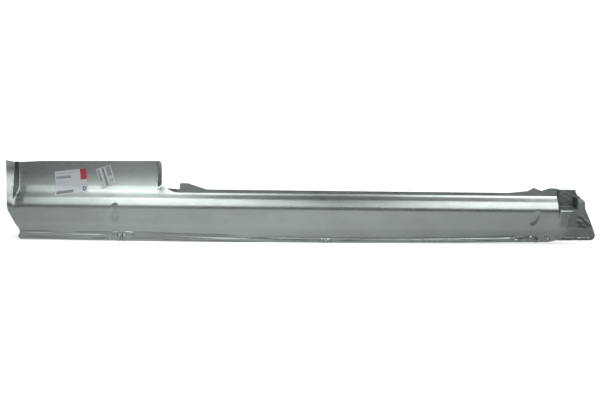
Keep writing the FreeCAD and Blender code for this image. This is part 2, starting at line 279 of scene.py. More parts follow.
@dataclass(frozen=True)
class SillSizes:
    """Driving sizes of the pressing in mm, measured from its side face and lower roll line."""

    sheet: float = 1.0
    left_end: float = -845.0
    right_end: float = 847.5
    side_height: float = 45.0
    roll_radius: float = 34.0
    shelf_tilt: float = 65.0
    shelf_depth: float = 39.5
    upstand_tilt: float = 10.0
    upstand_top: float = 52.5
    upstand_fillet: float = 7.0
    flange_inset: float = 9.0
    flange_height: float = 16.0
    bend_height: float = 67.5
    bend_bow: float = 10.5
    bow_centre: float = 110.0
    bow_reach: float = 560.0
    side_edge_radius: float = 30.0
    bend_radius: float = 4.0
    bend_softness: float = 4.0
    bead_depth: float = 2.0
    bead_half_height: float = 4.5
    swell_height: float = 3.3
    swell_start: float = -745.0
    swell_end: float = -50.0
    swell_end_stretch: float = 1.5
    swell_top: float = 14.0
    swell_run: float = 15.0
    swell_foot: float = 6.0
    swell_foot_run: float = 5.0
    rear_steps: tuple[Triple, ...] = ((1.3, 6.0, 3.5), (1.1, 15.0, 4.0))
    plate_top: float = 125.5
    plate_rise: float = 4.0
    plate_depth: float = 75.0
    plate_top_slope: float = 0.14
    plate_bow: float = 0.0017
    plate_reach: float = 82.2
    plate_reach_blend: float = 1.5
    plate_fillet: float = 35.0
    plate_fillet_tilt: float = 22.0
    pillar_x: float = -401.0
    pillar_lip_tilt: float = 50.0
    pillar_lip_width: float = 11.0
    pillar_lip_blend: float = 0.6
    pillar_top_corner: float = 15.0
    pillar_foot_corner: float = 20.0
    flare_top: float = 132.5
    flare_corner: float = 34.0
    flare_set_back: float = 38.0
    flare_set_back_height: float = 122.0
    flare_start: float = 12.0
    flare_lip: float = 24.0
    flare_lip_rate: float = 0.28
    flare_wall_rate: float = 2.8
    flare_blend: float = 5.0
    ear_x: float = -347.0
    ear_height: float = 17.5
    ear_length: float = 24.0
    ear_slope: float = 54.0
    joggle_x: float = 738.0
    joggle_lean: float = 0.26
    joggle_depth: float = 3.0
    joggle_length: float = 5.0
    pocket_start: float = 741.0
    pocket_end: float = 793.0
    pocket_foot: float = 2.0
    pocket_ledge: float = 4.0
    pocket_ledge_slope: float = 1.3
    pocket_depth: float = 43.0
    pocket_lean: float = 0.12
    pocket_wall_slope: float = 8.0
    pocket_corner: float = 4.0
    pocket_low_corner: float = 12.0
    pocket_blend: float = 3.0
    end_lean: float = 0.08
    end_plate_top: float = 45.5
    end_fade: float = 130.0
    rear_outline: tuple[Pair, ...] = (
        (-94, 44), (-84, 36), (-72, 42), (-62, 41), (-45, 31), (-20, 18), (-8, 11), (12, 8),
        (103, 1.5), (138, 0))
    front_outline: tuple[Pair, ...] = (
        (-80, 8), (-72, 2), (-64, 0), (-40, 9), (-20, 17), (0, 26), (12, 31), (38, 34.5), (43, 36.5),
        (45.5, 40))
    wavy_edge: tuple[Triple, ...] = (
        (-140, -1, 30), (-84, 4.5, 12), (-66, 14, 2.5), (-43.5, 5.5, 8), (-22, 13, 8),
        (-2, 13, 6), (10, 8, 5))

    @property
    def flange_bottom(self) -> float:
        """Depth of the flange's lowest edge under the roll line."""
        return self.flange_height + self.bend_height + self.bend_bow

    @property
    def shelf_slope(self) -> float:
        """Depth gained per mm of height on the shelf."""
        return math.tan(math.radians(self.shelf_tilt))

    @property
    def roll_width(self) -> float:
        """Height over which the roll turns."""
        return self.roll_radius * math.sin(math.radians(self.shelf_tilt))

    @property
    def roll_depth(self) -> float:
        """Depth at the inner end of the roll."""
        return self.roll_radius * (1 - math.cos(math.radians(self.shelf_tilt)))

    @property
    def shelf_top(self) -> float:
        """Height of the upstand's foot."""
        return self.roll_width + (self.shelf_depth - self.roll_depth) / self.shelf_slope


@dataclass(frozen=True)
class Wrinkles(Mark):
    """Wrinkles of the pocket's back: two slanting sine waves, the first one bent by a third."""

    height: float = 0.3
    turn_x: float = 0.22
    turn_z: float = 0.36
    bending: float = 1.3
    bending_turn: float = 0.13
    small_height: float = 0.1
    small_turn_x: float = 0.17
    small_turn_z: float = 0.55

    def at(self, x: Array, z: Array) -> Array:
        """Sum of the two waves."""
        slant = x * self.turn_x + z * self.turn_z
        large = self.height * np.sin(slant + self.bending * np.sin(z * self.bending_turn))
        return large + self.small_height * np.sin(z * self.small_turn_z - x * self.small_turn_x)


class PressedSheet:
    """Shape of the pressing: the depth of its outer face at any place and height."""

    def __init__(self, sizes: SillSizes, marks: Sequence[Mark]) -> None:
        """Keeps the sizes and the marks that the tool and the handling left."""
        self.s = sizes
        self.marks = marks

    def bend_height(self, x: Array) -> Array:
        """Height of the flange bend below the roll line: a bow down towards the middle."""
        t = (x - self.s.bow_centre) / self.s.bow_reach
        return self.s.bend_height + self.s.bend_bow * np.maximum(0.0, 1 - t * t)

    def _roll_and_wall(self, inside: Array) -> Array:
        """Depth inside the rim: radius less the root of radius squared less distance squared,
        then a straight slope."""
        s = self.s
        turned = np.clip(inside, 0.0, s.roll_width)
        roll = s.roll_radius - np.sqrt(s.roll_radius ** 2 - turned ** 2)
        return roll + np.maximum(inside - s.roll_width, 0.0) * s.shelf_slope

    def _inside_rim(self, x: Array, z: Array) -> Array:
        """Distance inside the rim, which turns up along the flare with a round corner."""
        s = self.s
        along = x - s.left_end
        lip = s.flare_start + s.flare_lip_rate * along
        past = deeper(lip, lip + s.flare_wall_rate * (along - s.flare_lip), s.flare_blend)
        a = s.flare_corner - z
        b = s.flare_corner - past
        corner = s.flare_corner - np.hypot(a, b)
        return np.where((a > 0) & (b > 0), corner, np.minimum(z, past))

    def _plate(self, z: Array) -> Array:
        """Depth of the quarter plate: a straight tilt at its top, and a square bow downwards."""
        s = self.s
        below = s.plate_top - z
        return s.plate_depth - s.plate_top_slope * below - s.plate_bow * below ** 2

    def _lower(self, x: Array, z: Array) -> Array:
        """Depth below the roll line: upright side, inward slope, upright flange."""
        s = self.s
        lean = s.flange_inset / (self.bend_height(x) - s.side_height)
        tilt = math.degrees(math.atan(float(np.mean(lean))))
        slope = deeper(0.0, (-s.side_height - z) * lean,
                       fillet_reach(s.side_edge_radius, tilt, 0))
        depth = nearer(slope, s.flange_inset,
                       fillet_reach(s.bend_radius, tilt, 0) * s.bend_softness)
        return depth + self._flange_ribs(x, -z - self.bend_height(x))

    def _flange_ribs(self, x: Array, below: Array) -> Array:
        """Depth of the ribs along the bend: in front a groove; at the rear a cubic swell above
        the bend and two low steps under it."""
        s = self.s
        away = np.abs(below - s.bead_half_height / 2)
        groove = s.bead_depth * ease(1 - away / s.bead_half_height)
        groove = groove * ease((s.joggle_x - s.end_fade / 2 - x) / s.end_fade * 2)
        swell = np.clip((below + s.swell_top) / s.swell_run, 0, 1) ** 3
        swell = swell * ease((s.swell_foot - below) / s.swell_foot_run)
        steps = s.swell_height * swell
        for height, start, run in s.rear_steps:
            steps = steps + height * ease((below - start) / run)
        rear = ease((x - s.swell_start) / s.end_fade)
        rear = rear * ease((s.swell_end - x) / s.end_fade / s.swell_end_stretch)
        return groove * (1 - rear) - steps * rear

    def _upper(self, x: Array, z: Array) -> Array:
        """Depth above the roll line: rim, flare, plate and upstand, the nearest one filleted."""
        s = self.s
        wall = self._roll_and_wall(self._inside_rim(x, z))
        near_flare = 1 - ease((x - s.left_end - s.flare_lip) / s.roll_radius)
        wall = wall + s.flare_set_back * ease(z / s.flare_set_back_height) * near_flare
        door = ease((x - s.pillar_x) / (s.ear_x - s.pillar_x))
        past = np.minimum(x - s.pillar_x, 0.0) + s.pillar_lip_width
        turned = deeper(past * math.tan(math.radians(s.pillar_lip_tilt)), 0.0,
                        s.pillar_lip_blend)
        turned = turned * ease((z - s.shelf_top) / s.pillar_foot_corner)
        upstand = s.shelf_depth + (z - s.shelf_top) * math.tan(math.radians(s.upstand_tilt))
        plate = nearer(self._plate(z) + turned, s.plate_reach, s.plate_reach_blend)
        back = plate * (1 - door) + upstand * door
        plate_fillet = fillet_reach(s.plate_fillet, s.shelf_tilt, s.plate_fillet_tilt)
        upstand_fillet = fillet_reach(s.upstand_fillet, s.shelf_tilt, s.upstand_tilt)
        return nearer(wall, back, plate_fillet * (1 - door) + upstand_fillet * door)

    def _front_end(self, x: Array, z: Array, depth: Array) -> Array:
        """Adds the pocket, the plain end and the joggle that steps in for the next panel."""
        s = self.s
        run = s.joggle_length * 2
        turn = s.pocket_corner
        wall_end = s.pocket_end + run * ease((z - s.end_plate_top + turn) / turn)
        wall_end = wall_end - run * ease((s.pocket_low_corner - z) / turn)
        plain = ease((x - s.pocket_end + run) / run)
        base = np.where(z > 0, depth * (1 - plain), depth)
        lean = s.end_lean * (np.minimum(z, 0.0) + s.bend_height)
        base = base + lean * ease((x - s.joggle_x) / run)
        pocket = np.minimum((x - s.pocket_start) * s.pocket_wall_slope,
                            (wall_end - x) * s.pocket_wall_slope)
        floor = s.pocket_depth + z * s.pocket_lean + Wrinkles().at(x, z)
        above = z - s.pocket_foot
        ledge = np.maximum(above * s.pocket_ledge_slope,
                           (above - s.pocket_ledge) * s.pocket_wall_slope)
        pocket = np.minimum(pocket, np.minimum(ledge, floor))
        base = deeper(base, np.maximum(pocket, -s.pocket_depth), s.pocket_blend)
        edge = s.joggle_x + s.joggle_lean * np.minimum(z, 0.0)
        bend = self.bend_height(x)
        fade = ease((bend + z) / (bend - s.side_height))
        return base + s.joggle_depth * fade * ease((x - edge) / s.joggle_length)

    def depth(self, x: Array, z: Array) -> Array:
        """Depth of the outer face.

        Args:
            x: Places along the sill in mm.
            z: Heights in mm.

        Returns:
            Depths in mm, positive inwards.
        """
        clean = np.where(z > 0, self._upper(x, np.maximum(z, 0.0)), self._lower(x, z))
        clean = self._front_end(x, z, clean)
        for mark in self.marks:
            clean = clean + mark.at(x, z)
        return clean

    def normal(self, x: Array, z: Array, step: float = 0.4) -> Array:
        """Outward unit normals, from central differences of the depth."""
        slope_x = (self.depth(x + step, z) - self.depth(x - step, z)) / (2 * step)
        slope_z = (self.depth(x, z + step) - self.depth(x, z - step)) / (2 * step)
        normal = np.stack([slope_x, -np.ones_like(slope_x), slope_z], axis=-1)
        return normal / np.linalg.norm(normal, axis=-1, keepdims=True)


@dataclass(frozen=True)
class FrameFit:
    """Carries the panel's own millimetres into the frame's metres."""

    offset: Triple

    @classmethod
    def from_box(cls, sizes: SillSizes, low: Sequence[float]) -> "FrameFit":
        """Fits the panel's lower left corner to the lowest corner of its CAD box."""
        return cls((low[0] / MM - sizes.left_end, low[1] / MM, low[2] / MM + sizes.flange_bottom))

    def to_frame(self, points: Array) -> Array:
        """Points in frame metres."""
        return (points + np.array(self.offset)) * MM


def mesh_object(name: str, vertices: Array, faces: Array,
                uv: Array | None = None) -> bpy.types.Object:
    """Makes a smooth-shaded object from arrays.

    Args:
        name: Object name.
        vertices: N by 3 places in metres.
        faces: M by 4 vertex numbers.
        uv: Optional N by 2 map, one pair per vertex.

    Returns:
        The linked object.
    """
    mesh = bpy.data.meshes.new(name)
    mesh.vertices.add(len(vertices))
    mesh.vertices.foreach_set("co", vertices.astype(np.float32).ravel())
    mesh.loops.add(faces.size)
    mesh.loops.foreach_set("vertex_index", faces.astype(np.int32).ravel())
    mesh.polygons.add(len(faces))
    mesh.polygons.foreach_set("loop_start", np.arange(len(faces), dtype=np.int32) * 4)
    mesh.polygons.foreach_set("use_smooth", np.ones(len(faces), dtype=bool))
    if uv is not None:
        layer = mesh.uv_layers.new(name="Print")
        layer.data.foreach_set("uv", uv[faces.ravel()].astype(np.float32).ravel())
    mesh.update(calc_edges=True)
    mesh.validate()
    piece = bpy.data.objects.new(name, mesh)
    bpy.context.scene.collection.objects.link(piece)
    return piece


def grid_faces(columns: int, rows: int, start: int, flip: bool) -> Array:
    """Quads of a grid stored column by column.

    Args:
        columns: Number of columns of vertices.
        rows: Number of rows of vertices.
        start: Number of the grid's first vertex.
        flip: Turns the faces over.

    Returns:
        Vertex numbers, four per face.
    """
    index = np.arange(columns * rows).reshape(columns, rows) + start
    quads = np.stack([index[:-1, :-1], index[1:, :-1], index[1:, 1:], index[:-1, 1:]], axis=-1)
    quads = quads.reshape(-1, 4)
    return quads[:, ::-1] if flip else quads


def sheet_from_grid(name: str, outer: Array, inner: Array,
                    uv: Array | None = None) -> bpy.types.Object:
    """Closed sheet between two grids of the same size: both faces and the four cut edges.

    The cut edges have vertices of their own, so that they stay crisp.

    Args:
        name: Object name.
        outer: Columns by rows by 3, the face seen from outside.
        inner: The face behind it.
        uv: Optional columns by rows by 2 map of the outer face.

    Returns:
        The object.
    """
    columns, rows = outer.shape[:2]
    count = columns * rows
    vertices = [outer.reshape(-1, 3), inner.reshape(-1, 3)]
    faces = [grid_faces(columns, rows, 0, False), grid_faces(columns, rows, count, True)]
    start = 2 * count
    sides = ((outer[:, 0], inner[:, 0], True), (outer[:, -1], inner[:, -1], False),
             (outer[0], inner[0], False), (outer[-1], inner[-1], True))
    for near, far, flip in sides:
        strip = np.stack([near, far], axis=1)
        vertices.append(strip.reshape(-1, 3))
        faces.append(grid_faces(len(near), 2, start, flip))
        start += len(near) * 2
    table = None
    if uv is not None:
        rest = sum(len(block) for block in vertices[1:])
        table = np.concatenate([uv.reshape(-1, 2), np.full((rest, 2), -1.0)])
    return mesh_object(name, np.concatenate(vertices), np.concatenate(faces), table)


@dataclass
class RockerPanel:
    """The pressing as one closed sheet, from the flange's lower edge to the upper outline."""

    sizes: SillSizes
    sheet: PressedSheet
    fit: FrameFit
    flange_rows: int = 14
    bend_rows: int = 11
    lower_rows: int = 6
    side_rows: int = 13
    roll_rows: int = 20
    back_rows: int = 38
    column_budget: int = 480
    edge_samples: int = 8000
    coarse_spacing: float = 10.0
    spacing_growth: float = 0.3
    shift_rounds: int = 6
    row_margin: float = 4.0
    roll_start: float = -2.0
    bend_stretch: float = 2.2

    def top_edge(self) -> RoundedPath:
        """Upper outline from the flare's corner to the end plate."""
        s = self.sizes
        ear_end = s.ear_x + s.ear_length
        wavy = [Corner(s.joggle_x + ahead, s.upstand_top + rise, radius)
                for ahead, rise, radius in s.wavy_edge]
        return RoundedPath([
            Corner(s.left_end, s.flare_top),
            Corner(s.left_end + s.flare_lip, s.flare_top - 5, 6),
            Corner(s.left_end + s.flare_lip + 10, s.plate_top - 3, 7),
            Corner(s.left_end + s.flare_corner * 3, s.plate_top + 0.5, 60),
            Corner(s.pillar_x, s.plate_top + s.plate_rise, s.pillar_top_corner),
            Corner(s.pillar_x, s.upstand_top, s.pillar_foot_corner),
            Corner(s.ear_x, s.upstand_top, 2),
            Corner(s.ear_x + 2, s.upstand_top + s.ear_height, 4),
            Corner(ear_end, s.upstand_top + s.ear_height, 8),
            Corner(ear_end + s.ear_slope, s.upstand_top, 30),
            *wavy,
            Corner(s.pocket_end + 1, s.upstand_top + s.wavy_edge[-1][1], 1.0),
            Corner(s.pocket_end + 5, s.end_plate_top, 1.5),
            Corner(s.right_end - s.front_outline[-1][1], s.end_plate_top),
        ])

    def lower_edge(self) -> RoundedPath:
        """Lower outline of the flange, from the rear end to the front end."""
        s = self.sizes
        foot = -s.flange_bottom
        hem = s.flange_height / 2
        return RoundedPath([
            Corner(s.left_end + s.rear_outline[1][1], foot + hem),
            Corner(s.left_end + s.rear_outline[0][1], foot + 3, 6),
            Corner(s.left_end + s.end_fade * 4, foot, 300),
            Corner(s.bow_centre, foot + 0.5, 300),
            Corner(s.bow_centre + s.bow_reach * 0.6, foot + 4, 90),
            Corner(s.joggle_x - s.end_fade, foot + hem - 1, 60),
            Corner(s.joggle_x - 25, foot + hem + 0.5, 20),
            Corner(s.joggle_x - 2, foot + hem + 6, 8),
            Corner(s.right_end - 10, foot + hem + 7, 5),
            Corner(s.right_end - 1.8, foot + hem + 14),
        ])

    def _left_edge(self, z: Array) -> Array:
        """Rear outline: straight runs between a few heights."""
        heights, distances = np.array(self.sizes.rear_outline).T
        return self.sizes.left_end + np.interp(z, heights, distances)

    def _right_edge(self, z: Array) -> Array:
        """Front outline of the end plate: straight runs between a few heights."""
        heights, distances = np.array(self.sizes.front_outline).T
        return self.sizes.right_end - np.interp(z, heights, distances)

    def _shifted(self, foot: Array, z: Array) -> Array:
        """Place of a column at a height: columns near the ends lean with the outline."""
        s = self.sizes
        near_left = 1 - ease((foot - s.left_end) / s.end_fade)
        near_right = ease((foot - s.pocket_end) / (s.right_end - s.pocket_end))
        left = (self._left_edge(z) - s.left_end) * near_left
        right = (self._right_edge(z) - s.right_end) * near_right
        return foot + left + right

    def _fans(self) -> tuple[Pair, ...]:
        """Stretches whose columns fan out, because the upper outline stands steep there."""
        s = self.sizes
        return ((s.pillar_x - s.plate_top * 0.8, s.pillar_x + s.pillar_foot_corner),
                (s.ear_x - s.ear_height, s.ear_x + s.ear_length * 2),
                (s.joggle_x + s.wavy_edge[1][0], s.joggle_x + s.wavy_edge[3][0]),
                (s.pocket_end - 12, s.right_end))

    def _fine_zones(self) -> tuple[Triple, ...]:
        """Stretches with detail: where each starts and ends, and the spacing of its columns."""
        s = self.sizes
        flare = (s.left_end, s.left_end + 75, 2.2)
        rear_jacking, rear_channels = (-562, -470, 2.2), (-526, -496, 0.9)
        pillar = (s.pillar_x - 40, s.ear_x + 74, 1.8)
        middle_channel, front_channel = (60, 84, 1.1), (670, 686, 0.9)
        front = (s.joggle_x - 142, s.pocket_end, 2.1)
        end_plate = (s.pocket_end, s.right_end, 1.2)
        joggle = (s.joggle_x - 2, s.joggle_x + 14, 0.9)
        pocket_wall = (s.pocket_end - 12, s.pocket_end + 4, 0.9)
        return (flare, rear_jacking, rear_channels, pillar, middle_channel, front_channel,
                front, end_plate, joggle, pocket_wall)

    def _columns(self, edge: RoundedPath) -> tuple[Array, Array]:
        """Walked lengths of the columns and their places along the lower sill.

        Columns stand closer where the panel has detail: their number per mm is summed along
        the edge and divided evenly.
        """
        walked = np.linspace(0.0, edge.length, self.edge_samples)
        foot = edge.x_at(walked)
        for x_start, x_end in self._fans():
            start, end = edge.walk_to(x_start), edge.walk_to(min(x_end, edge.points[-1, 0]))
            inside = (walked >= start) & (walked <= end + NUDGE)
            foot[inside] = x_start + (x_end - x_start) * (walked[inside] - start) / (end - start)
        spacing = np.full_like(walked, self.coarse_spacing)
        for x_start, x_end, fine in self._fine_zones():
            gap = np.maximum(np.maximum(x_start - foot, foot - x_end), 0.0)
            spacing = np.minimum(spacing, fine + gap * self.spacing_growth)
        density = np.concatenate([[0.0], np.cumsum(np.diff(walked) / spacing[1:])])
        even = np.linspace(0.0, density[-1], self.column_budget)
        chosen = np.interp(even, density, walked)
        return chosen, np.interp(chosen, walked, foot)

    def _grid(self) -> tuple[Array, Array]:
        """Places and heights of all grid points, columns by rows."""
        s = self.sizes
        edge = self.top_edge()
        walked, foot = self._columns(edge)
        top_x = edge.x_at(walked)
        top_z = edge.z_at(walked)
        lower = self.lower_edge()
        order = np.argsort(lower.points[:, 0])
        bottom = np.full_like(foot, -s.flange_bottom)
        for _ in range(self.shift_rounds):
            bottom = np.interp(self._shifted(foot, bottom), lower.points[order, 0],
                               lower.points[order, 1])
        bend = -self.sheet.bend_height(foot)
        roll_top = np.full_like(foot, s.roll_width + self.row_margin)
        marks = [bottom, bend - s.bend_radius, bend + s.bend_radius * self.bend_stretch,
                 np.full_like(foot, -s.side_height + self.row_margin),
                 np.full_like(foot, self.roll_start), roll_top]
        counts = (self.flange_rows, self.bend_rows, self.lower_rows, self.side_rows,
                  self.roll_rows)
        blocks = []
        for start, end, count in zip(marks, marks[1:], counts):
            part = np.arange(count) / count
            blocks.append(start[:, None] + (end - start)[:, None] * part[None, :])
        part = np.linspace(0.0, 1.0, self.back_rows)
        part = 0.5 * part + 0.5 * part * part
        blocks.append(roll_top[:, None] + (top_z - roll_top)[:, None] * part[None, :])
        z = np.concatenate(blocks, axis=1)
        spread = np.clip((z - roll_top[:, None]) / (top_z - roll_top)[:, None], 0.0, 1.0)
        foot_x = self._shifted(foot[:, None] + np.zeros_like(z), z)
        head_x = self._shifted(top_x[:, None] + np.zeros_like(z), z)
        return foot_x + (head_x - foot_x) * spread, z

    def build(self) -> bpy.types.Object:
        """Builds the sheet and lays it in the frame.

        Returns:
            The panel object, which replaces its CAD node.
        """
        x, z = self._grid()
        outer = np.stack([x, self.sheet.depth(x, z), z], axis=-1)
        inner = outer - self.sheet.normal(x, z) * self.sizes.sheet
        low = np.array(outer.reshape(-1, 3).min(axis=0))
        high = np.array(outer.reshape(-1, 3).max(axis=0))
        inner = np.clip(inner, low, high + np.array([0.0, self.sizes.sheet, 0.0]))
        panel = sheet_from_grid("pressed_panel", self.fit.to_frame(outer),
                                self.fit.to_frame(inner))
        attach(panel, "root")
        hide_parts(PANEL_NODE)
        LOG.info("pressed panel: %d vertices", len(panel.data.vertices))
        return panel


@dataclass
class PaperLabel:
    """Stuck-on paper label that follows the sheet."""

    name: str
    node: str
    x: float
    z: float
    width: float
    length: float
    turn: float
    gap: float = 0.2
    thickness: float = 0.2
    steps: int = 48

    def build(self, sheet: PressedSheet, fit: FrameFit) -> bpy.types.Object:
        """Lays the label over the sheet, with its map from 0 to 1 over the paper.

        Args:
            sheet: The pressing that carries it.
            fit: Placement in the frame.

        Returns:
            The label object.
        """
        across, up = np.meshgrid(np.linspace(-0.5, 0.5, self.steps),
                                 np.linspace(-0.5, 0.5, self.steps), indexing="ij")
        turn = math.radians(self.turn)
        x = self.x + across * self.width * math.cos(turn) - up * self.length * math.sin(turn)
        z = self.z + across * self.width * math.sin(turn) + up * self.length * math.cos(turn)
        skin = np.stack([x, sheet.depth(x, z), z], axis=-1)
        normal = sheet.normal(x, z)
        inner = skin + normal * self.gap
        outer = skin + normal * (self.gap + self.thickness)
        uv = np.stack([across + 0.5, up + 0.5], axis=-1)
        piece = sheet_from_grid(self.name, fit.to_frame(outer), fit.to_frame(inner), uv)
        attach(piece, "root")
        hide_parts(self.node)
        LOG.info("%s: %.0f x %.0f mm", self.name, self.width, self.length)
        return piece


class Wire:
    """Socket that does arithmetic: each operator adds a Math node."""

    def __init__(self, graph: "Graph", socket: bpy.types.NodeSocket) -> None:
        """Wraps an output socket of a graph."""
        self.graph = graph
        self.socket = socket

    def _math(self, operation: str, *values: Any) -> "Wire":
        """Math node of this operation on these values."""
        return self.graph.node("Math", {"operation": operation},
                               dict(enumerate(values))).out(0)

    def __add__(self, other: Any) -> "Wire":
        """Sum."""
        return self._math("ADD", self, other)

    def __sub__(self, other: Any) -> "Wire":
        """Difference."""
        return self._math("SUBTRACT", self, other)

    def __mul__(self, other: Any) -> "Wire":
        """Product."""
        return self._math("MULTIPLY", self, other)

    def __gt__(self, other: Any) -> "Wire":
        """1 where greater."""
        return self._math("GREATER_THAN", self, other)

    def __lt__(self, other: Any) -> "Wire":
        """1 where less."""
        return self._math("LESS_THAN", self, other)

    def __abs__(self) -> "Wire":
        """Absolute value."""
        return self._math("ABSOLUTE", self)

    def ramp(self, low: float, high: float, out_low: float = 0.0, out_high: float = 1.0) -> "Wire":
        """Smooth step of this value from low to high, or falling where low is the greater."""
        if low > high:
            low, high, out_low, out_high = high, low, out_high, out_low
        return self.graph.node("MapRange", {"interpolation_type": "SMOOTHSTEP"},
                               {0: self, 1: low, 2: high, 3: out_low, 4: out_high}).out(0)


@dataclass(frozen=True)
class NoiseLayer:
    """Noise of one scale, on coordinates that may be stretched along each axis."""

    scale: float
    detail: float
    roughness: float
    stretch: Triple | None = None


class Placed:
    """A node that has been placed in a graph."""

    def __init__(self, graph: "Graph", node: bpy.types.Node) -> None:
        """Wraps a node."""
        self.graph = graph
        self.node = node

    def out(self, key: int | str) -> Wire:
        """One of its output sockets."""
        return Wire(self.graph, self.node.outputs[key])


class Graph:
    """Node tree with one method that makes any node."""

    def __init__(self, tree: bpy.types.NodeTree) -> None:
        """Takes over a tree and clears it."""
        self.tree = tree
        tree.nodes.clear()

    def node(self, kind: str, settings: dict[str, Any] | None = None,
             inputs: dict[int | str, Any] | None = None) -> Placed:
        """Adds a node.

        Args:
            kind: Blender's node type after its prefix.
            settings: Properties, set first.
            inputs: Values or wires by socket name or number.

        Returns:
            The placed node.
        """
        made = self.tree.nodes.new("ShaderNode" + kind)
        for key, value in (settings or {}).items():
            setattr(made, key, value)
        for key, value in (inputs or {}).items():
            if isinstance(value, Wire):
                self.tree.links.new(value.socket, made.inputs[key])
            else:
                made.inputs[key].default_value = value
        return Placed(self, made)

    def mix(self, factor: Any, first: Any, second: Any) -> Wire:
        """Mixes two colours."""
        node = self.node("Mix", {"data_type": "RGBA"}, {0: factor, 6: first, 7: second})
        return node.out(2)

    def noise(self, vector: Wire, layer: NoiseLayer) -> Wire:
        """Noise value at a place."""
        if layer.stretch:
            vector = self.node("Mapping", {}, {
                "Vector": vector, "Scale": layer.stretch}).out(0)
        return self.node("TexNoise", {}, {
            "Vector": vector, "Scale": layer.scale, "Detail": layer.detail,
            "Roughness": layer.roughness}).out(0)


def new_material(name: str) -> tuple[bpy.types.Material, Graph]:
    """Empty node material and its graph."""
    material = bpy.data.materials.new(name)
    material.use_nodes = True
    return material, Graph(material.node_tree)


@dataclass(frozen=True)
class PaintedShadeZone:
    """Painted shade over a stretch of the sheet: a strength times smooth steps along and up the
    panel.

    Each step is a pair of places in metres, from where it is 0 to where it is 1.
    """

    strength: float
    along: tuple[Pair, ...]
    up: tuple[Pair, ...] = ()

    def steps(self, along: Wire, up: Wire) -> Wire:
        """Product of the steps.

        Args:
            along: Place along the panel.
            up: Height.

        Returns:
            Numbers from 0 to 1.
        """
        ramps = [along.ramp(*step) for step in self.along] + [up.ramp(*step) for step in self.up]
        product = ramps[0]
        for ramp in ramps[1:]:
            product = product * ramp
        return product

    def mask(self, along: Wire, up: Wire) -> Wire:
        """Share of the painted shade colour: the steps times the strength."""
        return self.steps(along, up) * self.strength


@dataclass(frozen=True)
class ZincSheetFinish:
    """Bare zinc-coated sheet: satin metal with faint rolling lines and handling smears, and painted
    shade over a few stretches and in the pocket.
    """

    color: Color = (0.237, 0.262, 0.256, 1.0)
    dull_color: Color = (0.2, 0.218, 0.213, 1.0)
    # Colour of the painted shade laid over the zones and the pocket.
    painted_shade_color: Color = (0.08, 0.092, 0.085, 1.0)
    roughness: float = 0.30
    lines: NoiseLayer = NoiseLayer(1.0, 4.0, 0.6, (1.2, 260.0, 260.0))
    fine: NoiseLayer = NoiseLayer(1.0, 2.0, 0.5, (6.0, 900.0, 900.0))
    clouds: NoiseLayer = NoiseLayer(9.0, 4.0, 0.6)
    smears: NoiseLayer = NoiseLayer(1.0, 5.0, 0.65, (14.0, 14.0, 30.0))
    grain: NoiseLayer = NoiseLayer(700.0, 2.0, 0.5)
    cloud_range: Pair = (0.42, 0.70)
    cloud_share: float = 0.55
    smear_range: Pair = (0.52, 0.74)
    smear_share: float = 0.35
    line_roughness: float = 0.12
    smear_roughness: float = 0.16
    grain_roughness: float = 0.08
    pocket_roughness: float = 0.35
    line_height: float = 0.5
    fine_height: float = 0.3
    grain_height: float = 0.12
    bump_strength: float = 0.12
    bump_distance: float = 0.0004
    # Painted shade: darker towards the front end below the shelf, on the lower slope from the middle
    # on, towards the rear end and at the front tip.
    painted_shade_zones: tuple[PaintedShadeZone, ...] = (
        PaintedShadeZone(0.52, ((-0.1, 0.76),), ((0.132, 0.12),)),
        PaintedShadeZone(0.22, ((-0.35, 0.1),), ((0.062, 0.03),)),
        PaintedShadeZone(0.32, ((-0.45, -0.85),)),
        PaintedShadeZone(0.36, ((0.73, 0.79),)),
    )
    # Painted shade in the recess of the pocket, which also gets a rougher finish.
    pocket: PaintedShadeZone = PaintedShadeZone(0.9, ((0.736, 0.742), (0.797, 0.793)), ((0.1005, 0.1035),))

    def material(self) -> bpy.types.Material:
        """Makes the material.

        Returns:
            The node material.
        """
        material, graph = new_material("zinc_sheet")
        place = graph.node("TexCoord").out("Object")
        lines, fine, clouds, smears, grain = [
            graph.noise(place, layer)
            for layer in (self.lines, self.fine, self.clouds, self.smears, self.grain)]
        dull = (clouds.ramp(*self.cloud_range) * self.cloud_share
                + smears.ramp(*self.smear_range) * self.smear_share)
        color = graph.mix(dull, self.color, self.dull_color)
        split = graph.node("SeparateXYZ", {}, {0: place})
        along, up = split.out(0), split.out(2)
        # Painted shade: the zones pull the colour towards the painted shade colour.
        painted_shade_mask = self.painted_shade_zones[0].mask(along, up)
        for zone in self.painted_shade_zones[1:]:
            painted_shade_mask = painted_shade_mask + zone.mask(along, up)
        color = graph.mix(painted_shade_mask, color, self.painted_shade_color)
        # Painted shade in the pocket recess, with added roughness there.
        pocket = self.pocket.steps(along, up)
        color = graph.mix(pocket * self.pocket.strength, color, self.painted_shade_color)
        rough = ((lines - NOISE_MIDDLE) * self.line_roughness
                 + (smears - NOISE_MIDDLE) * self.smear_roughness
                 + (grain - NOISE_MIDDLE) * self.grain_roughness)
        rough = rough + pocket * self.pocket_roughness
        height = (lines * self.line_height + fine * self.fine_height
                  + grain * self.grain_height)
        bump = graph.node("Bump", {}, {
            "Strength": self.bump_strength, "Distance": self.bump_distance,
            "Height": height}).out(0)
        shader = graph.node("BsdfPrincipled", {}, {
            "Base Color": color, "Metallic": 1.0, "Roughness": rough + self.roughness,
            "Normal": bump})
        graph.node("OutputMaterial", {}, {0: shader.out(0)})
        return material


@dataclass(frozen=True)
class Patch:
    """Plain field of colour on a label, in shares of its width and length."""

    left: float
    right: float
    low: float
    high: float
    color: Color
    strength: float = 1.0


